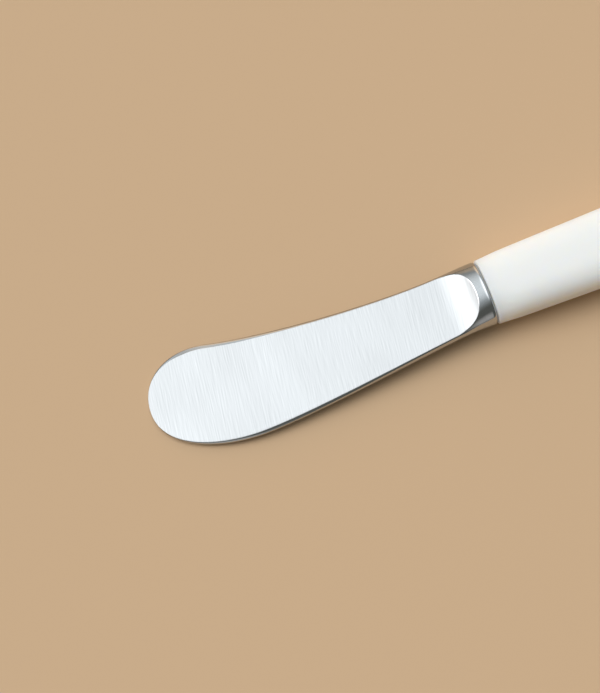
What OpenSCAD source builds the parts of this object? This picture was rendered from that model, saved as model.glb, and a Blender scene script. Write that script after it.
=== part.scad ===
// Butter knife: one steel forging of blade, bolster and tang, a moulded handle, and the cement between them.
// Lengths are in millimetres. The knife is drawn along X, with the back of its bolster at x = 0, the tip
// towards -X, the spine towards +Y and its middle plane at z = 0. It is then laid down the way it lies on
// a table, on the tip of its blade and the front of its handle.

/* [Blade outline] */
// Length of the blade and bolster, from the tip to the handle
blade_len = 73; // [62:0.5:86]
// Height above the knife's axis of the shoulder, where the spine turns into the round tip
shoulder_rise = 11.2; // [9.5:0.1:13]
// Distance of the shoulder from the tip
shoulder_back = 15; // [12:0.5:19]
// Angle at which the spine climbs through the shoulder
shoulder_lean = 14; // [8:0.5:18]
// Depth of the belly's lowest point below the axis
belly_drop = 11.1; // [9:0.1:13]
// Distance of that point from the tip
belly_back = 21; // [17:0.5:26]
// Height of the tip's foremost point above the axis
tip_rise = 1.3; // [0:0.1:3]
// Height of the spine above the axis at the neck
spine_neck_rise = 6.6; // [5.5:0.1:7]
// Distance of the spine's neck from the handle
spine_neck_x = 13.5; // [11:0.5:17]
// Depth of the belly below the axis at the neck
belly_neck_drop = 6.95; // [6:0.05:7.5]
// Distance of the belly's neck from the handle
belly_neck_x = 4.2; // [3.5:0.1:6]

/* [Blade grind] */
// Thickness of the ground blade where the plunge begins
root_t = 2.3; // [1.9:0.1:2.8]
// Thickness of the ground blade at the tip
tip_t = 0.9; // [0.6:0.1:1.3]
// Distance from the handle at which the flat faces end and the plunge begins
plunge_x = 9.2; // [8.2:0.1:10.2]
// Radius of the wheel that cuts the plunge
wheel_r = 9; // [8:0.1:10]
// Distance from the handle at which the bolster has thinned down to the unground blade
forge_neck_x = 7.5; // [6.5:0.1:8.5]
// Thickness of the unground forging there
blank_neck_t = 5.5; // [4.9:0.1:6.1]
// Thickness of the unground forging from the belly's lowest point to the tip
blank_tip_t = 3.5; // [2.8:0.1:4.2]

/* [Bolster] */
// Width of the bolster at the handle
bolster_w = 14; // [12:0.1:16]
// Thickness of the bolster at the handle
bolster_t = 9.5; // [8.5:0.1:10.5]
// Radius of the rounded rim at the back of the bolster
rim_r = 0.95; // [0.5:0.05:1.2]

/* [Tang] */
// Length of the tang behind the bolster
tang_len = 36; // [28:1:50]
// Diameter of the tang at the bolster
tang_root_d = 4; // [3:0.1:4.6]
// Diameter of the tang at its end
tang_end_d = 3; // [2:0.1:3.6]

/* [Cement] */
// Thickness of the cement round the root of the tang
cement_gap = 0.4; // [0.2:0.05:0.7]
// Depth of the cement behind the end of the tang
cement_end = 2; // [1:0.5:4]

/* [Handle] */
// Length of the handle
handle_len = 76; // [66:1:90]
// Width of the handle at its butt, before the end is rounded
butt_w = 18; // [15:0.1:21]
// Thickness of the handle at its butt, before the end is rounded
butt_t = 10.5; // [9:0.1:12.5]
// Depth of the rounded end
butt_depth = 6; // [3:0.5:9]
// How far the handle stands proud of the bolster all round
handle_proud = 0.06; // [0:0.02:0.2]
// Radius of the rounded edge at the front of the handle
front_edge_r = 0.25; // [0.1:0.05:0.6]
// Distance behind the joint over which the section turns from the bolster's oval to a squarer one
square_x = 6; // [4:0.5:12]

/* [Hidden] */

// Shape of the curves: how far each runs straight on from its end, as a share of its span
bolster_run = 0.4;
forge_run = 0.1;
neck_run = 0.35;
shoulder_run = 0.21;
tip_top_run = 0.51;
tip_spine_run = 0.82;
tip_belly_run = 0.72;
belly_front_run = 0.42;
belly_rear_run = 0.27;
belly_neck_run = 0.125;

// Exponents of the sections of the forging and of the handle: 2 is an ellipse, and more is squarer
oval_p = 2.2;
handle_p = 3;

// Points round a section, and sections along each stretch
round_n = 48;
tip_n = 18;
mid_n = 16;
bolster_n = 9;
edge_n = 4;
square_n = 6;
butt_n = 10;
// Turn at which the rounded butt ends in a small flat
butt_turn = 84;
// Width of the tip's foremost sliver, so that the first section isn't a point
tip_sliver = 0.02;
// Length by which a cut or a root reaches past the face that it meets
reach = 1;

handle_front_w = bolster_w + 2 * handle_proud;
handle_front_t = bolster_t + 2 * handle_proud;
bore_d = tang_root_d + 2 * cement_gap;
bore_depth = tang_len + cement_end;

// Lean of the ground faces, and of the whole knife as it lies on its tip and the front of its handle
grind_lean = atan((root_t - tip_t) / 2 / (blade_len - plunge_x));
rest_lean = atan((handle_front_t - tip_t) / 2 / (blade_len + front_edge_r));
rest_lift = handle_front_t / 2 * cos(rest_lean) - front_edge_r * sin(rest_lean);
rest_middle_x = (handle_len - blade_len) / 2 * cos(rest_lean);

// Points of the outline where a curve ends, from the handle to the tip
spine_joint = [0, bolster_w / 2];
spine_neck = [-spine_neck_x, spine_neck_rise];
shoulder = [-blade_len + shoulder_back, shoulder_rise];
tip_point = [-blade_len, tip_rise];
belly_low = [-blade_len + belly_back, -belly_drop];
belly_neck = [-belly_neck_x, -belly_neck_drop];
belly_joint = [0, -bolster_w / 2];

// Way along the knife towards the tip, climbing by an angle
function tipward(lean) = [-cos(lean), sin(lean)];

// A curve towards the tip that starts along the knife and ends at a given lean
function side_curve(a, b, run_a, run_b, lean_b = 0) =
    let (span = a.x - b.x)
    [a, a + run_a * span * tipward(0), b - run_b * span * tipward(lean_b), b];

// A curve that starts at a given lean and turns square across the knife at the tip
function tip_curve(a, b, run_a, run_b, lean_a = 0) =
    [a, a + run_a * (a.x - b.x) * tipward(lean_a), [b.x, b.y - run_b * (b.y - a.y)], b];

spine_curves = [
    side_curve(spine_joint, spine_neck, bolster_run, bolster_run),
    side_curve(spine_neck, shoulder, neck_run, shoulder_run, shoulder_lean),
    tip_curve(shoulder, tip_point, tip_top_run, tip_spine_run, shoulder_lean)
];
belly_curves = [
    side_curve(belly_joint, belly_neck, bolster_run, bolster_run),
    side_curve(belly_neck, belly_low, belly_neck_run, belly_rear_run),
    tip_curve(belly_low, tip_point, belly_front_run, tip_belly_run)
];

// Point of a cubic curve
function on_curve(c, t) =
    pow(1 - t, 3) * c[0] + 3 * t * pow(1 - t, 2) * c[1] + 3 * t * t * (1 - t) * c[2] + pow(t, 3) * c[3];

// Height of a curve that runs towards -X, at a given x, found by halving
function curve_y(c, x, low = 0, high = 1, steps = 30) =
    let (mid = (low + high) / 2, p = on_curve(c, mid))
    steps == 0 ? p.y
    : p.x > x ? curve_y(c, x, mid, high, steps - 1)
    : curve_y(c, x, low, mid, steps - 1);

// Height of one edge of the blade at a given x
function edge_y(curves, x) =
    x > curves[1][0].x ? curve_y(curves[0], x)
    : x > curves[2][0].x ? curve_y(curves[1], x)
    : curve_y(curves[2], x);

function mix(a, b, share) = a + (b - a) * share;

// Share from 0 to 1 that starts and ends gently
function ease(share) = share * share * (3 - 2 * share);

// Superellipse section across the knife, seen from +X. It starts at a point on the spine's side, or with
// half a step it starts and lies on a flat of the same width and thickness.
function oval(x, y, half_w, half_t, p = oval_p, half_step = 0) =
    let (step = 360 / round_n, flat = pow(cos(half_step * step), 2 / p))
    [
        for (i = [0 : round_n - 1])
            let (turn = (i + half_step) * step)
            [
                x,
                y + half_w / flat * sign(cos(turn)) * pow(abs(cos(turn)), 2 / p),
                half_t / flat * sign(sin(turn)) * pow(abs(sin(turn)), 2 / p)
            ]
    ];

// Side of the forging before it is ground: a curve down from the bolster, then a taper to the round tip
forge_taper_len = blade_len - belly_back - forge_neck_x;
forge_lean = atan((blank_neck_t - blank_tip_t) / 2 / forge_taper_len);
forge_joint = [0, bolster_t / 2];
forge_neck = [-forge_neck_x, blank_neck_t / 2];
forge_curve = side_curve(forge_joint, forge_neck, forge_run, forge_run, -forge_lean);

// Half the thickness of the forging before it is ground
function blank_half_t(x) =
    x > -forge_neck_x ? curve_y(forge_curve, x)
    : mix(blank_neck_t, blank_tip_t, min(1, (-x - forge_neck_x) / forge_taper_len)) / 2;

// Section of the unground forging, drawn in by an inset
function blank_section(x, inset) =
    let (top = edge_y(spine_curves, x), bottom = edge_y(belly_curves, x))
    oval(x, (top + bottom) / 2, (top - bottom) / 2 - inset, blank_half_t(x) - inset);

// Top of the spine, past the shoulder, and the middle of the knife's width
spine_top = max([for (i = [0 : tip_n]) on_curve(spine_curves[2], i / tip_n).y]);
rest_middle_y = (spine_top - belly_drop) / 2;

// Places of the sections: closer towards the tip, even along the blade, and close again on the bolster
tip_places = [for (i = [0 : tip_n - 1]) -blade_len + max(tip_sliver, belly_back * pow(i / tip_n, 2))];
mid_places = [for (i = [0 : mid_n - 1]) mix(-blade_len + belly_back, -forge_neck_x, i / mid_n)];
bolster_places = [for (i = [0 : bolster_n - 1]) mix(-forge_neck_x, -rim_r, i / bolster_n)];

blank_sections = [
    for (x = concat(tip_places, mid_places, bolster_places)) blank_section(x, 0),
    for (i = [0 : edge_n])
        let (turn = 90 * i / edge_n)
        blank_section(-rim_r * (1 - sin(turn)), rim_r * (1 - cos(turn)))
];

// Section of the handle at a given x, drawn in by an inset or by a share
function handle_section(x, inset, share) =
    let (
        w = mix(handle_front_w, butt_w, x / handle_len),
        t = mix(handle_front_t, butt_t, x / handle_len),
        p = mix(oval_p, handle_p, ease(min(1, x / square_x)))
    )
    oval(x, 0, (w / 2 - inset) * share, (t / 2 - inset) * share, p, half_step = 0.5);

handle_sections = [
    for (i = [0 : edge_n])
        let (turn = 90 * i / edge_n)
        handle_section(front_edge_r * (1 - cos(turn)), front_edge_r * (1 - sin(turn)), 1),
    for (i = [1 : square_n]) handle_section(mix(front_edge_r, square_x, i / square_n), 0, 1),
    for (i = [0 : butt_n])
        let (turn = butt_turn * i / butt_n)
        handle_section(handle_len - butt_depth * (1 - sin(turn) / sin(butt_turn)), 0, cos(turn))
];

// Solid through a row of sections
module loft(sections) {
    n = len(sections[0]);
    last = len(sections) - 1;
    sides = [
        for (i = [0 : last - 1], j = [0 : n - 1])
            let (k = (j + 1) % n, a = i * n, b = a + n)
            each [[a + j, b + j, b + k], [a + j, b + k, a + k]]
    ];
    ends = [[for (j = [0 : n - 1]) j], [for (j = [n - 1 : -1 : 0]) last * n + j]];
    polyhedron([for (s = sections) each s], concat(ends, sides));
}

// Lays the knife down on its tip and the front of its handle, with the middle of its box at the origin
module at_rest() {
    translate([-rest_middle_x, -rest_middle_y, rest_lift])
        rotate([0, -rest_lean, 0])
            children();
}

// What the wheel takes off one side: everything above the flat face, and the plunge at its end
module grinding_cut() {
    cut_half_w = spine_top + belly_drop;
    translate([-plunge_x, 0, root_t / 2])
        rotate([0, -grind_lean, 0]) {
            translate([-blade_len, -cut_half_w, 0])
                cube([blade_len, 2 * cut_half_w, wheel_r]);
            translate([0, cut_half_w, wheel_r])
                rotate([90, 0, 0])
                    cylinder(h = 2 * cut_half_w, r = wheel_r, $fn = 96);
        }
}

// Tapered round tang, rooted in the bolster
module tang() {
    rotate([0, 90, 0])
        rotate_extrude($fn = 48)
            polygon([
                [0, -reach], [tang_root_d / 2, -reach], [tang_root_d / 2, 0],
                [tang_end_d / 2, tang_len], [0, tang_len]
            ]);
}

// Blind hole for the tang, begun at a given x
module tang_hole(start) {
    translate([start, 0, 0])
        rotate([0, 90, 0])
            cylinder(h = bore_depth - start, d = bore_d, $fn = 48);
}

module forged_blade() {
    color([0.8, 0.81, 0.82])
        at_rest()
            union() {
                difference() {
                    loft(blank_sections);
                    grinding_cut();
                    mirror([0, 0, 1]) grinding_cut();
                }
                tang();
            }
}

module handle() {
    color([0.94, 0.92, 0.86])
        at_rest()
            difference() {
                loft(handle_sections);
                tang_hole(-reach);
            }
}

module tang_cement() {
    color([0.6, 0.54, 0.44])
        at_rest()
            difference() {
                tang_hole(0);
                tang();
            }
}

forged_blade();
handle();
tang_cement();
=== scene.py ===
# Looks of a butter knife: a forged blade with satin faces and a polished bolster, and a resin handle
import math

import bmesh
import bpy
import numpy as np
from mathutils import Matrix, Vector


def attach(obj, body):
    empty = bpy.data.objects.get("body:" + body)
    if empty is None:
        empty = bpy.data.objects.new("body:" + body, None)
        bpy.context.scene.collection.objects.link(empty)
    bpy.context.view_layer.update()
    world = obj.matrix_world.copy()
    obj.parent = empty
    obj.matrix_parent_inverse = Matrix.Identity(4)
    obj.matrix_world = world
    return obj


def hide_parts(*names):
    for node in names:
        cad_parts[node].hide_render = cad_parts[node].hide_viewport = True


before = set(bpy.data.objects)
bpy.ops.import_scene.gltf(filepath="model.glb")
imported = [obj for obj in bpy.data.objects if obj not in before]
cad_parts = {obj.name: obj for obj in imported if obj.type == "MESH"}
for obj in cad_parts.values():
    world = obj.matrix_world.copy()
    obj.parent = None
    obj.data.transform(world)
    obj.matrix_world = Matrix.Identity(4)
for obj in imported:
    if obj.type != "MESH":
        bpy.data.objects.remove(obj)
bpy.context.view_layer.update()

MM = 0.001

# Sizes of the knife in millimetres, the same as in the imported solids
BLADE_LEN = 73.0
SHOULDER_RISE = 11.2
SHOULDER_BACK = 15.0
SHOULDER_LEAN = math.radians(14.0)
BELLY_DROP = 11.1
BELLY_BACK = 21.0
TIP_RISE = 1.3
SPINE_NECK = (-13.5, 6.6)
BELLY_NECK = (-4.2, -6.95)
ROOT_T = 2.3
TIP_T = 0.9
PLUNGE_X = 9.2
WHEEL_R = 9.0
FORGE_NECK_X = 7.5
BLANK_NECK_T = 5.5
BLANK_TIP_T = 3.5
BOLSTER_W = 14.0
BOLSTER_T = 9.5
RIM_R = 0.95
TANG_LEN = 36.0
TANG_ROOT_R = 2.0
TANG_END_R = 1.5
BORE_R = 2.4
BORE_DEPTH = 38.0
HANDLE_LEN = 76.0
HANDLE_PROUD = 0.06
BUTT_W = 18.0
BUTT_T = 10.5
BUTT_DEPTH = 6.0
BUTT_TURN = math.radians(84.0)
FRONT_EDGE_R = 0.25
SQUARE_X = 6.0

# Exponents of the sections of the forging and of the handle: 2 is an ellipse, and more is squarer
OVAL_P = 2.2
HANDLE_P = 3.0
# Width over which the edge between a ground face and the polished flank is rounded
EDGE_SOFT = 0.1
# Polished bevel along the spine: its full width and lean, and the places where it starts, is full and ends
BEVEL_W = 0.52
BEVEL_LEAN = math.radians(17.0)
BEVEL_PLACES = (-72.0, -63.0, -35.0)

# Half width that stands in for that of the point at the tip
LEAST_HALF_W = 1e-9

# How the curves run on from their ends, as shares of their spans
BOLSTER_RUN = 0.4
FORGE_RUN = 0.1
NECK_RUN = 0.35
SHOULDER_RUN = 0.21
TIP_TOP_RUN = 0.51
TIP_SPINE_RUN = 0.82
TIP_BELLY_RUN = 0.72
BELLY_FRONT_RUN = 0.42
BELLY_REAR_RUN = 0.27
BELLY_NECK_RUN = 0.125

# Fineness of the meshes
CURVE_STEPS = 1500
TIP_STATIONS = 64
MID_STATIONS = 56
RAMP_STATIONS = 48
BOLSTER_STATIONS = 20
RIM_STEPS = 8
FLANK_ROWS = 22
FACE_ROWS = 16
BEVEL_ROWS = 8
BISECTIONS = 50
HANDLE_ROWS = 32
HANDLE_STATIONS = 50
BUTT_STATIONS = 24
CAP_RINGS = 4
WELD_GAP = 2e-4
SLIVER = 1e-5

# Finishes of the forging, by their places in its list of materials
SATIN = 0
POLISHED = 1

# Lean of the ground faces, and the way the knife lies on its tip and the front of its handle
HANDLE_FRONT_W = BOLSTER_W + 2 * HANDLE_PROUD
HANDLE_FRONT_T = BOLSTER_T + 2 * HANDLE_PROUD
GRIND_LEAN = math.atan((ROOT_T - TIP_T) / 2 / (BLADE_LEN - PLUNGE_X))
REST_LEAN = math.atan((HANDLE_FRONT_T - TIP_T) / 2 / (BLADE_LEN + FRONT_EDGE_R))
REST_LIFT = HANDLE_FRONT_T / 2 * math.cos(REST_LEAN) - FRONT_EDGE_R * math.sin(REST_LEAN)
REST_MIDDLE_X = (HANDLE_LEN - BLADE_LEN) / 2 * math.cos(REST_LEAN)

# Camera: its lens, its tilt from straight down, its distance, and how the knife lies in the picture
PICTURE_H = 693
FOCAL_PX = 1746.0
CAMERA_TILT = math.radians(17.5)
CAMERA_DISTANCE = 360.43
KNIFE_TURN = math.radians(20.924)
JOINT_RIGHT = 38.323
JOINT_UP = 10.148
CLIP_START = 0.01

# Turn of the brushing away from square across the blade, and the name of the map that follows it
BRUSH_TURN = math.radians(-8.0)
GRAIN_MAP = "grain"

# Floor and light: colours are linear values of red, green and blue, and directions are in degrees
FLOOR_COLOUR = (0.65, 0.448, 0.278)
FLOOR_HALF = 3.0
ROOM_COLOUR = (0.14, 0.144, 0.13)
DOME_LOW_COLOUR = (0.05, 0.03, 0.015)
DOME_HIGH_COLOUR = (1.0, 1.11, 1.18)
DOME_WAY = (114, 29)
DOME_COSINES = (-0.02, 0.75)
# Patches of light: turn from the picture's right towards its far side, height, reach, level and colour
PATCHES = {
    "key": (180, 37, 23, 5.1, (1.0, 1.0, 1.0)),
    "top": (90, 75, 30, 0.97, (1.0, 1.0, 1.01)),
    "far_left": (140, 62, 35, 0.34, (1.0, 1.0, 1.0)),
    "far_low": (95, 20, 30, 1.0, (0.96, 0.66, 0.39)),
    "near_low": (-90, 12, 30, 0.46, (1.0, 0.95, 0.93)),
}


def mix(a, b, share):
    return a + (b - a) * share


def soft_min(a, b, width):
    """The lower of two heights, with the crease between them rounded over a width."""
    share = np.clip(0.5 + (b - a) / (2 * width), 0, 1)
    return mix(b, a, share) - width * share * (1 - share)


# Outline of the blade

def tipward(lean):
    return np.array([-math.cos(lean), math.sin(lean)])


def side_curve(a, b, run_a, run_b, lean_b=0.0):
    """Curve towards the tip that starts along the knife and ends at a lean."""
    a, b = np.array(a), np.array(b)
    span = a[0] - b[0]
    return [a, a + run_a * span * tipward(0.0), b - run_b * span * tipward(lean_b), b]


def tip_curve(a, b, run_a, run_b, lean_a=0.0):
    """Curve that starts at a lean and turns square across the knife at the tip."""
    a, b = np.array(a), np.array(b)
    end_way = np.array([b[0], b[1] - run_b * (b[1] - a[1])])
    return [a, a + run_a * (a[0] - b[0]) * tipward(lean_a), end_way, b]


def on_curve(curve, t):
    a, b, c, d = curve
    t = t[:, None]
    return (1 - t) ** 3 * a + 3 * t * (1 - t) ** 2 * b + 3 * t * t * (1 - t) * c + t ** 3 * d


SHOULDER = (-BLADE_LEN + SHOULDER_BACK, SHOULDER_RISE)
TIP = (-BLADE_LEN, TIP_RISE)
BELLY_LOW = (-BLADE_LEN + BELLY_BACK, -BELLY_DROP)
SPINE = [
    side_curve((0, BOLSTER_W / 2), SPINE_NECK, BOLSTER_RUN, BOLSTER_RUN),
    side_curve(SPINE_NECK, SHOULDER, NECK_RUN, SHOULDER_RUN, SHOULDER_LEAN),
    tip_curve(SHOULDER, TIP, TIP_TOP_RUN, TIP_SPINE_RUN, SHOULDER_LEAN),
]
BELLY = [
    side_curve((0, -BOLSTER_W / 2), BELLY_NECK, BOLSTER_RUN, BOLSTER_RUN),
    side_curve(BELLY_NECK, BELLY_LOW, BELLY_NECK_RUN, BELLY_REAR_RUN),
    tip_curve(BELLY_LOW, TIP, BELLY_FRONT_RUN, TIP_BELLY_RUN),
]


def edge_points(curves):
    t = np.linspace(0, 1, CURVE_STEPS)
    return np.concatenate([on_curve(c, t) for c in curves])[::-1]


def from_tip(x):
    """Root of the distance from the tip, against which the round tip's edges run almost straight."""
    return np.sqrt(np.maximum(x + BLADE_LEN, 0))


def edge_y(curves, x):
    points = edge_points(curves)
    return np.interp(from_tip(x), from_tip(points[:, 0]), points[:, 1])


REST_MIDDLE_Y = (edge_points(SPINE)[:, 1].max() - BELLY_DROP) / 2


# Thickness of the forging before and after grinding

FORGE_JOINT = (0, BOLSTER_T / 2)
FORGE_NECK = (-FORGE_NECK_X, BLANK_NECK_T / 2)
FORGE_TAPER_LEN = BLADE_LEN - BELLY_BACK - FORGE_NECK_X
FORGE_LEAN = math.atan((BLANK_NECK_T - BLANK_TIP_T) / 2 / FORGE_TAPER_LEN)
FORGE = side_curve(FORGE_JOINT, FORGE_NECK, FORGE_RUN, FORGE_RUN, -FORGE_LEAN)


def blank_half_t(x):
    """Half the forging's thickness: a curve down from the bolster, then a taper towards the tip."""
    curve = on_curve(FORGE, np.linspace(0, 1, CURVE_STEPS))[::-1]
    bolster = np.interp(x, curve[:, 0], curve[:, 1])
    share = np.clip((-x - FORGE_NECK_X) / FORGE_TAPER_LEN, 0, 1)
    return np.where(x > -FORGE_NECK_X, bolster, mix(BLANK_NECK_T, BLANK_TIP_T, share) / 2)


def ground_half_t(x):
    """Height of the flat face, and past the plunge that of the wheel's curve."""
    flat = ROOT_T / 2 + (x + PLUNGE_X) * math.tan(GRIND_LEAN)
    wheel_x = -PLUNGE_X - WHEEL_R * math.sin(GRIND_LEAN)
    wheel_z = ROOT_T / 2 + WHEEL_R * math.cos(GRIND_LEAN)
    ramp = wheel_z - np.sqrt(np.maximum(WHEEL_R ** 2 - (x - wheel_x) ** 2, 0))
    return np.where(x > -PLUNGE_X, ramp, flat)


def plunge_end():
    """Place where the wheel's curve leaves the top of the bolster."""
    low, high = -PLUNGE_X, 0.0
    for _ in range(BISECTIONS):
        middle = np.array((low + high) / 2)
        if ground_half_t(middle) < blank_half_t(middle):
            low = float(middle)
        else:
            high = float(middle)
    return low


# Meshes, gathered grid by grid in the knife's own axes and then laid down at rest

class Skin:
    def __init__(self):
        self.points = []
        self.faces = []
        self.finishes = []

    def grid(self, points, finish=0):
        rows, columns = points.shape[:2]
        first = len(self.points)
        self.points.extend(points.reshape(-1, 3))
        for i in range(rows - 1):
            for j in range(columns - 1):
                a = first + i * columns + j
                self.faces.append((a, a + 1, a + columns + 1, a + columns))
                self.finishes.append(finish)

    def build(self, name, materials):
        mesh = bpy.data.meshes.new(name)
        mesh.from_pydata(laid_down(np.array(self.points)).tolist(), [], self.faces)
        for material in materials:
            mesh.materials.append(material)
        mesh.polygons.foreach_set("material_index", self.finishes)
        weld(mesh)
        mesh.polygons.foreach_set("use_smooth", [True] * len(mesh.polygons))
        unroll(mesh)
        piece = bpy.data.objects.new(name, mesh)
        bpy.context.scene.collection.objects.link(piece)
        return piece


def laid_down(p):
    """Knife axes in millimetres to the part's frame in metres."""
    lean_cos, lean_sin = math.cos(REST_LEAN), math.sin(REST_LEAN)
    x = p[:, 0] * lean_cos - p[:, 2] * lean_sin - REST_MIDDLE_X
    y = p[:, 1] - REST_MIDDLE_Y
    z = p[:, 0] * lean_sin + p[:, 2] * lean_cos + REST_LIFT
    return np.stack([x, y, z], axis=1) * MM


def weld(mesh):
    work = bmesh.new()
    work.from_mesh(mesh)
    bmesh.ops.remove_doubles(work, verts=work.verts, dist=WELD_GAP * MM)
    bmesh.ops.dissolve_degenerate(work, edges=work.edges, dist=SLIVER * MM)
    bmesh.ops.recalc_face_normals(work, faces=work.faces)
    work.to_mesh(mesh)
    work.free()


def unroll(mesh):
    """Flat map of the piece from above, with its first axis square to the brushing, for the grain."""
    turn_cos, turn_sin = math.cos(BRUSH_TURN), math.sin(BRUSH_TURN)
    flat = mesh.uv_layers.new(name=GRAIN_MAP)
    for corner, place in zip(mesh.loops, flat.uv):
        x, y, _ = mesh.vertices[corner.vertex_index].co
        place.vector = (x * turn_cos + y * turn_sin, y * turn_cos - x * turn_sin)


def oval_quarter(turn, half_w, half_t, side, face, p=OVAL_P):
    """Across and up along a quarter of an oval, from the edge of one side to the middle of one face."""
    across = side * half_w * np.abs(np.cos(turn)) ** (2 / p)
    up = face * half_t * np.abs(np.sin(turn)) ** (2 / p)
    return across, up


# Blade, bolster and tang

def blade_stations(end):
    share = np.linspace(0, 1, TIP_STATIONS, endpoint=False)
    tip = -BLADE_LEN + BELLY_BACK * share ** 2
    mid = np.linspace(-BLADE_LEN + BELLY_BACK, -PLUNGE_X, MID_STATIONS, endpoint=False)
    share = np.linspace(1, 0, RAMP_STATIONS, endpoint=False)
    ramp = end - (end + PLUNGE_X) * share ** 2
    share = np.linspace(0, 1, BOLSTER_STATIONS)
    bolster = end + (-RIM_R - end) * share ** 1.5
    return np.concatenate([tip, mid, ramp]), bolster


def blade_section(x):
    top, bottom = edge_y(SPINE, x), edge_y(BELLY, x)
    return (top + bottom) / 2, (top - bottom) / 2


def flank_turn(x):
    """Turn along the oval section at which the ground face cuts it off."""
    cut = np.minimum(ground_half_t(x) / blank_half_t(x), 1)
    return np.arcsin(cut ** (OVAL_P / 2))


def ground_part(x):
    """Share of the half width over which the ground face cuts off the oval section."""
    return np.cos(flank_turn(x)) ** (2 / OVAL_P)


def bevel_share(x):
    """How much of its full width the bevel has, fading towards both of its ends."""
    return np.interp(x, BEVEL_PLACES, (0.0, 1.0, 0.0))


def face_part(x):
    """Share of the half width that the ground face has on the spine's side, beside the bevel."""
    half_w = np.maximum(blade_section(x)[1], LEAST_HALF_W)
    return ground_part(x) - BEVEL_W * bevel_share(x) / half_w


def blade_grid(x, part, face):
    """Skin over shares of the half width: the oval section, cut off by the ground face and the bevel."""
    middle, half_w = blade_section(x)
    across = middle[:, None] + half_w[:, None] * part
    blank = blank_half_t(x)[:, None] * np.maximum(1 - np.abs(part) ** OVAL_P, 0) ** (1 / OVAL_P)
    slope = math.tan(BEVEL_LEAN) * np.sqrt(bevel_share(x)) * half_w
    ground = ground_half_t(x)[:, None] - slope[:, None] * np.maximum(part - face_part(x)[:, None], 0)
    up = np.maximum(soft_min(blank, ground, EDGE_SOFT), 0)
    return np.stack([np.broadcast_to(x[:, None], up.shape), across, face * up], axis=2)


def add_flank(skin, x, side, face):
    turn = flank_turn(x)[:, None] * np.linspace(0, 1, FLANK_ROWS)
    part = side * np.cos(turn) ** (2 / OVAL_P)
    if side > 0:
        share = np.linspace(1, 0, BEVEL_ROWS)[1:] ** 2
        part = np.hstack([part, mix(face_part(x)[:, None], ground_part(x)[:, None], share)])
    skin.grid(blade_grid(x, part, face), POLISHED)


def add_ground_face(skin, x, face):
    step = np.linspace(-1, 1, 2 * FACE_ROWS + 1)
    share = np.sign(step) * (1 - (1 - np.abs(step)) ** 3)
    part = share * np.where(share > 0, face_part(x)[:, None], ground_part(x)[:, None])
    skin.grid(blade_grid(x, part, face), SATIN)


def add_rim_and_tang(skin, side, face):
    """Rounded back edge of the bolster, its flat back, and the tang, for one quarter of the section."""
    turn = np.linspace(0, math.pi / 2, FLANK_ROWS)
    rings = []
    for bend in np.linspace(0, math.pi / 2, RIM_STEPS):
        x = np.array(-RIM_R * (1 - math.sin(bend)))
        inset = RIM_R * (1 - math.cos(bend))
        middle, half_w = blade_section(x)
        half_t = soft_min(blank_half_t(x), ground_half_t(x), EDGE_SOFT)
        rings.append((float(x), middle, *oval_quarter(turn, half_w - inset, half_t - inset, side, face)))
    back_across, back_up = rings[-1][2:]
    root = (side * TANG_ROOT_R * np.cos(turn), face * TANG_ROOT_R * np.sin(turn))
    for share in np.linspace(0, 1, CAP_RINGS)[1:]:
        rings.append((0.0, 0.0, mix(back_across, root[0], share), mix(back_up, root[1], share)))
    for share in np.linspace(0, 1, CAP_RINGS)[1:]:
        size = mix(TANG_ROOT_R, TANG_END_R, share) / TANG_ROOT_R
        rings.append((TANG_LEN * share, 0.0, root[0] * size, root[1] * size))
    rings.append((TANG_LEN, 0.0, root[0] * 0, root[1] * 0))
    points = [np.stack([np.full(turn.shape, x), middle + y, z], axis=1) for x, middle, y, z in rings]
    skin.grid(np.array(points), POLISHED)


def make_blade(satin, polished):
    skin = Skin()
    end = plunge_end()
    ground, bolster = blade_stations(end)
    all_stations = np.concatenate([ground, bolster])
    face_stations = np.append(ground, end)
    for face in (1, -1):
        add_ground_face(skin, face_stations, face)
        for side in (1, -1):
            add_flank(skin, all_stations, side, face)
            add_rim_and_tang(skin, side, face)
    return skin.build("blade_forging", [satin, polished])


# Handle

def handle_rings():
    """Place, half width, half thickness and exponent of the handle's sections, from front to butt."""
    rings = []

    def ring(x, inset, share):
        half_w = mix(HANDLE_FRONT_W, BUTT_W, x / HANDLE_LEN) / 2
        half_t = mix(HANDLE_FRONT_T, BUTT_T, x / HANDLE_LEN) / 2
        square = min(x / SQUARE_X, 1.0)
        p = mix(OVAL_P, HANDLE_P, square * square * (3 - 2 * square))
        rings.append((x, (half_w - inset) * share, (half_t - inset) * share, p))

    for bend in np.linspace(0, math.pi / 2, RIM_STEPS):
        ring(FRONT_EDGE_R * (1 - math.cos(bend)), FRONT_EDGE_R * (1 - math.sin(bend)), 1.0)
    straight_end = HANDLE_LEN - BUTT_DEPTH
    for share in np.linspace(0, 1, HANDLE_STATIONS)[1:-1]:
        ring(mix(FRONT_EDGE_R, straight_end, float(share) ** 2), 0.0, 1.0)
    for bend in np.linspace(0, BUTT_TURN, BUTT_STATIONS):
        ring(HANDLE_LEN - BUTT_DEPTH * (1 - math.sin(bend) / math.sin(BUTT_TURN)), 0.0, math.cos(bend))
    return rings


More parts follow.
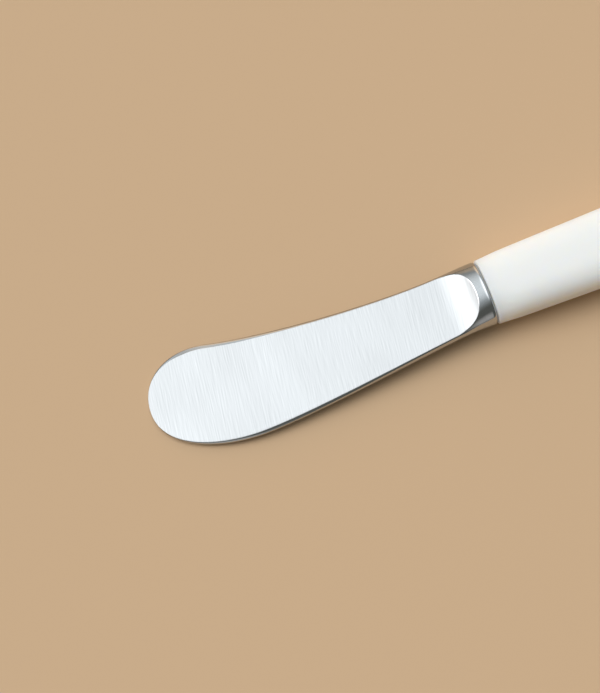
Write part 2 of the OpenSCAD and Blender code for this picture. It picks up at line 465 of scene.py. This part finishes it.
def add_handle_quarter(skin, rings, side, face):
    turn = np.linspace(0, math.pi / 2, HANDLE_ROWS)
    ovals = [(x, *oval_quarter(turn, half_w, half_t, side, face, p)) for x, half_w, half_t, p in rings]
    bore = (side * BORE_R * np.cos(turn), face * BORE_R * np.sin(turn))
    _, first_across, first_up = ovals[0]
    shares = np.linspace(0, 1, CAP_RINGS)
    front = [(0.0, mix(bore[0], first_across, s), mix(bore[1], first_up, s)) for s in shares]
    hole = [(BORE_DEPTH * s, *bore) for s in shares[::-1]]
    bottom = [(BORE_DEPTH, bore[0] * 0, bore[1] * 0)]
    last_x, last_across, last_up = ovals[-1]
    butt = [(last_x, last_across * s, last_up * s) for s in shares[-2::-1]]
    rows = bottom + hole + front[1:-1] + ovals + butt
    skin.grid(np.array([np.stack([np.full(turn.shape, x), y, z], axis=1) for x, y, z in rows]))


def make_handle(resin):
    skin = Skin()
    rings = handle_rings()
    for face in (1, -1):
        for side in (1, -1):
            add_handle_quarter(skin, rings, side, face)
    return skin.build("resin_handle", [resin])


# Materials, whose grain sizes and bump depths are in metres

class Finish:
    """Material under construction, with short ways to add nodes and links."""

    def __init__(self, name):
        self.material = bpy.data.materials.new(name)
        self.material.use_nodes = True
        self.tree = self.material.node_tree
        self.shader = self.tree.nodes["Principled BSDF"]

    def node(self, kind, **settings):
        node = self.tree.nodes.new(kind)
        for key, value in settings.items():
            setattr(node, key, value)
        return node

    def link(self, output, target):
        self.tree.links.new(output, target)

    def place(self, size, turn=0.0, aside=0.0):
        """Place on the piece, moved aside, turned about Z and divided by a size along each axis."""
        coordinates = self.node("ShaderNodeTexCoord")
        mapping = self.node("ShaderNodeMapping", vector_type="TEXTURE")
        mapping.inputs["Location"].default_value = (aside * math.cos(turn), aside * math.sin(turn), 0.0)
        mapping.inputs["Rotation"].default_value = (0.0, 0.0, turn)
        mapping.inputs["Scale"].default_value = size
        self.link(coordinates.outputs["Object"], mapping.inputs["Vector"])
        return mapping.outputs["Vector"]

    def noise(self, size, turn=0.0, detail=3.0, roughness=0.5, aside=0.0):
        noise = self.node("ShaderNodeTexNoise")
        noise.inputs["Scale"].default_value = 1.0
        noise.inputs["Detail"].default_value = detail
        noise.inputs["Roughness"].default_value = roughness
        self.link(self.place(size, turn, aside), noise.inputs["Vector"])
        return noise.outputs["Fac"]

    def streaks(self, size, turn, aside):
        """Fine streaks without broad bands: the difference of a noise and its copy a little aside."""
        difference = self.node("ShaderNodeMath", operation="SUBTRACT")
        self.link(self.noise(size, turn, detail=1.0), difference.inputs[0])
        self.link(self.noise(size, turn, detail=1.0, aside=aside), difference.inputs[1])
        return difference.outputs["Value"]

    def spread(self, value, low, high, from_low=0.25, from_high=0.75):
        """A value stretched from its own range to another."""
        spread = self.node("ShaderNodeMapRange")
        spread.inputs["From Min"].default_value = from_low
        spread.inputs["From Max"].default_value = from_high
        spread.inputs["To Min"].default_value = low
        spread.inputs["To Max"].default_value = high
        self.link(value, spread.inputs["Value"])
        return spread.outputs["Result"]

    def colours(self, value, low, high):
        """A colour between two, by a value from 0 to 1."""
        blend = self.node("ShaderNodeMix", data_type="RGBA")
        blend.inputs["A"].default_value = (*low, 1.0)
        blend.inputs["B"].default_value = (*high, 1.0)
        self.link(value, blend.inputs["Factor"])
        self.link(blend.outputs["Result"], self.shader.inputs["Base Color"])

    def bump(self, height, depth, before=None):
        bump = self.node("ShaderNodeBump")
        bump.inputs["Distance"].default_value = depth
        self.link(height, bump.inputs["Height"])
        if before is not None:
            self.link(before, bump.inputs["Normal"])
        return bump.outputs["Normal"]


def satin_steel():
    """Steel brushed across the blade, in fine streaks and a few longer scratches."""
    finish = Finish("satin_steel")
    finish.shader.inputs["Metallic"].default_value = 1.0
    streaks = finish.streaks((0.00016, 0.005, 0.004), BRUSH_TURN, aside=0.00028)
    scratches = finish.noise((0.00006, 0.02, 0.004), BRUSH_TURN, detail=2.0)
    clouds = finish.noise((0.006, 0.012, 0.01), BRUSH_TURN, detail=2.0)
    shade = finish.spread(streaks, 0.0, 1.0, from_low=-0.4, from_high=0.4)
    finish.colours(shade, (0.465, 0.476, 0.486), (0.579, 0.588, 0.597))
    finish.link(finish.spread(clouds, 0.44, 0.48), finish.shader.inputs["Roughness"])
    grain = finish.bump(streaks, 0.0000025)
    grain = finish.bump(scratches, 0.0000008, grain)
    finish.link(grain, finish.shader.inputs["Normal"])
    finish.shader.inputs["Anisotropic"].default_value = 0.78
    way = finish.node("ShaderNodeTangent", direction_type="UV_MAP", uv_map=GRAIN_MAP)
    finish.link(way.outputs["Tangent"], finish.shader.inputs["Tangent"])
    return finish.material


def polished_steel():
    """Hand-polished steel, slightly wavy, with faint fine scratches along the knife."""
    finish = Finish("polished_steel")
    finish.shader.inputs["Metallic"].default_value = 1.0
    scratches = finish.noise((0.008, 0.00015, 0.00015), 0.0, detail=3.0, roughness=0.6)
    waves = finish.noise((0.004, 0.003, 0.003), 0.0, detail=1.0)
    finish.colours(finish.spread(scratches, 0.0, 1.0), (0.472, 0.481, 0.49), (0.526, 0.535, 0.544))
    finish.link(finish.spread(scratches, 0.05, 0.11), finish.shader.inputs["Roughness"])
    surface = finish.bump(waves, 0.00003)
    surface = finish.bump(scratches, 0.0000004, surface)
    finish.link(surface, finish.shader.inputs["Normal"])
    return finish.material


def ivory_resin():
    """Moulded ivory-coloured resin, faintly clouded, with a soft gloss."""
    finish = Finish("ivory_resin")
    clouds = finish.noise((0.015, 0.006, 0.006), 0.0, detail=3.0)
    peel = finish.noise((0.0007, 0.0007, 0.0007), 0.0, detail=2.0)
    finish.colours(finish.spread(clouds, 0.0, 1.0), (0.91, 0.91, 0.885), (0.93, 0.93, 0.91))
    finish.link(finish.spread(clouds, 0.27, 0.34), finish.shader.inputs["Roughness"])
    finish.link(finish.bump(peel, 0.000002), finish.shader.inputs["Normal"])
    finish.shader.inputs["Subsurface Weight"].default_value = 1.0
    finish.shader.inputs["Subsurface Radius"].default_value = (1.0, 0.9, 0.75)
    finish.shader.inputs["Subsurface Scale"].default_value = 0.003
    return finish.material


def hard_cement():
    """Hardened cement, sandy and dull."""
    finish = Finish("hard_cement")
    sand = finish.noise((0.0004, 0.0004, 0.0004), 0.0, detail=5.0, roughness=0.7)
    finish.colours(finish.spread(sand, 0.0, 1.0), (0.26, 0.21, 0.15), (0.40, 0.34, 0.25))
    finish.link(finish.spread(sand, 0.75, 0.95), finish.shader.inputs["Roughness"])
    finish.link(finish.bump(sand, 0.00005), finish.shader.inputs["Normal"])
    return finish.material


def floor_paint():
    finish = Finish("floor_paint")
    finish.shader.inputs["Base Color"].default_value = (*FLOOR_COLOUR, 1.0)
    finish.shader.inputs["Roughness"].default_value = 0.9
    finish.shader.inputs["Specular IOR Level"].default_value = 0.2
    return finish.material


# Ground directions of the picture, and the point of the floor at its middle

PICTURE_RIGHT = Vector((math.cos(KNIFE_TURN), -math.sin(KNIFE_TURN), 0.0))
PICTURE_FAR = Vector((math.sin(KNIFE_TURN), math.cos(KNIFE_TURN), 0.0))
UPWARD = Vector((0.0, 0.0, 1.0))
KNIFE_JOINT = Vector((-REST_MIDDLE_X, -REST_MIDDLE_Y, 0.0))
PICTURE_MIDDLE = (KNIFE_JOINT - JOINT_RIGHT * PICTURE_RIGHT - JOINT_UP * PICTURE_FAR) * MM


def make_floor():
    mesh = bpy.data.meshes.new("floor")
    corners = [(x * FLOOR_HALF, y * FLOOR_HALF, 0.0) for x, y in ((-1, -1), (1, -1), (1, 1), (-1, 1))]
    mesh.from_pydata(corners, [], [(0, 1, 2, 3)])
    mesh.materials.append(floor_paint())
    floor = bpy.data.objects.new("floor", mesh)
    bpy.context.scene.collection.objects.link(floor)


def make_camera():
    data = bpy.data.cameras.new("camera")
    data.sensor_fit = "VERTICAL"
    data.lens = FOCAL_PX * data.sensor_height / PICTURE_H
    data.clip_start = CLIP_START
    camera = bpy.data.objects.new("camera", data)
    bpy.context.scene.collection.objects.link(camera)
    back = math.cos(CAMERA_TILT) * UPWARD - math.sin(CAMERA_TILT) * PICTURE_FAR
    up = math.cos(CAMERA_TILT) * PICTURE_FAR + math.sin(CAMERA_TILT) * UPWARD
    eye = PICTURE_MIDDLE + CAMERA_DISTANCE * MM * back
    turn = Matrix((PICTURE_RIGHT, up, back)).transposed().to_4x4()
    camera.matrix_world = Matrix.Translation(eye) @ turn
    bpy.context.scene.camera = camera


def sky_way(turn, height):
    """Direction by its turn in degrees from the picture's right towards its far side, and its height."""
    turn, height = math.radians(turn), math.radians(height)
    level = math.cos(turn) * PICTURE_RIGHT + math.sin(turn) * PICTURE_FAR
    return math.cos(height) * level + math.sin(height) * UPWARD


class Sky:
    """World light under construction, as a sum of soft patches of light."""

    def __init__(self):
        self.world = bpy.data.worlds.new("studio")
        self.world.use_nodes = True
        self.nodes, self.links = self.world.node_tree.nodes, self.world.node_tree.links
        self.nodes.clear()
        self.way = self.nodes.new("ShaderNodeTexCoord").outputs["Generated"]
        self.light = self.plain(ROOM_COLOUR)

    def plain(self, colour):
        background = self.nodes.new("ShaderNodeBackground")
        background.inputs["Color"].default_value = (*colour, 1.0)
        return background

    def add(self, background):
        total = self.nodes.new("ShaderNodeAddShader")
        self.links.new(self.light.outputs[0], total.inputs[0])
        self.links.new(background.outputs[0], total.inputs[1])
        self.light = total

    def facing(self, way, low, high, level):
        """A level that rises smoothly while the cosine to a direction rises from low to high."""
        cosine = self.nodes.new("ShaderNodeVectorMath")
        cosine.operation = "DOT_PRODUCT"
        cosine.inputs[1].default_value = way
        rise = self.nodes.new("ShaderNodeMapRange")
        rise.interpolation_type = "SMOOTHSTEP"
        rise.inputs["From Min"].default_value = low
        rise.inputs["From Max"].default_value = high
        rise.inputs["To Max"].default_value = level
        self.links.new(self.way, cosine.inputs[0])
        self.links.new(cosine.outputs["Value"], rise.inputs["Value"])
        return rise.outputs["Result"]

    def add_patch(self, turn, height, reach, level, colour):
        patch = self.plain(colour)
        strength = self.facing(sky_way(turn, height), math.cos(math.radians(reach)), 1.0, level)
        self.links.new(strength, patch.inputs["Strength"])
        self.add(patch)

    def add_dome(self):
        """Far half of the room: warm and dim at the horizon, cool and bright overhead."""
        dome = self.plain((1.0, 1.0, 1.0))
        colour = self.nodes.new("ShaderNodeMix")
        colour.data_type = "RGBA"
        colour.inputs["A"].default_value = (*DOME_LOW_COLOUR, 1.0)
        colour.inputs["B"].default_value = (*DOME_HIGH_COLOUR, 1.0)
        height = self.nodes.new("ShaderNodeSeparateXYZ")
        self.links.new(self.way, height.inputs["Vector"])
        rise = self.nodes.new("ShaderNodeMath")
        rise.operation = "POWER"
        rise.inputs[1].default_value = 2.0
        self.links.new(height.outputs["Z"], rise.inputs[0])
        self.links.new(rise.outputs["Value"], colour.inputs["Factor"])
        self.links.new(colour.outputs["Result"], dome.inputs["Color"])
        strength = self.facing(sky_way(*DOME_WAY), *DOME_COSINES, 1.0)
        self.links.new(strength, dome.inputs["Strength"])
        self.add(dome)

    def finish(self):
        """Shows the camera a backdrop of the floor's colour instead of the lights."""
        seen = self.nodes.new("ShaderNodeLightPath")
        choice = self.nodes.new("ShaderNodeMixShader")
        output = self.nodes.new("ShaderNodeOutputWorld")
        self.links.new(seen.outputs["Is Camera Ray"], choice.inputs["Fac"])
        self.links.new(self.light.outputs[0], choice.inputs[1])
        self.links.new(self.plain(FLOOR_COLOUR).outputs[0], choice.inputs[2])
        self.links.new(choice.outputs["Shader"], output.inputs["Surface"])
        bpy.context.scene.world = self.world


def make_sky():
    sky = Sky()
    sky.add_dome()
    for patch in PATCHES.values():
        sky.add_patch(*patch)
    sky.finish()


def dress_parts():
    blade = make_blade(satin_steel(), polished_steel())
    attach(blade, "root")
    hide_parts("forged_blade")
    handle = make_handle(ivory_resin())
    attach(handle, "root")
    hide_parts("handle")
    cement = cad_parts["tang_cement"]
    cement.data.materials.clear()
    cement.data.materials.append(hard_cement())


bpy.context.scene.view_settings.view_transform = "Standard"
dress_parts()
make_floor()
make_camera()
make_sky()
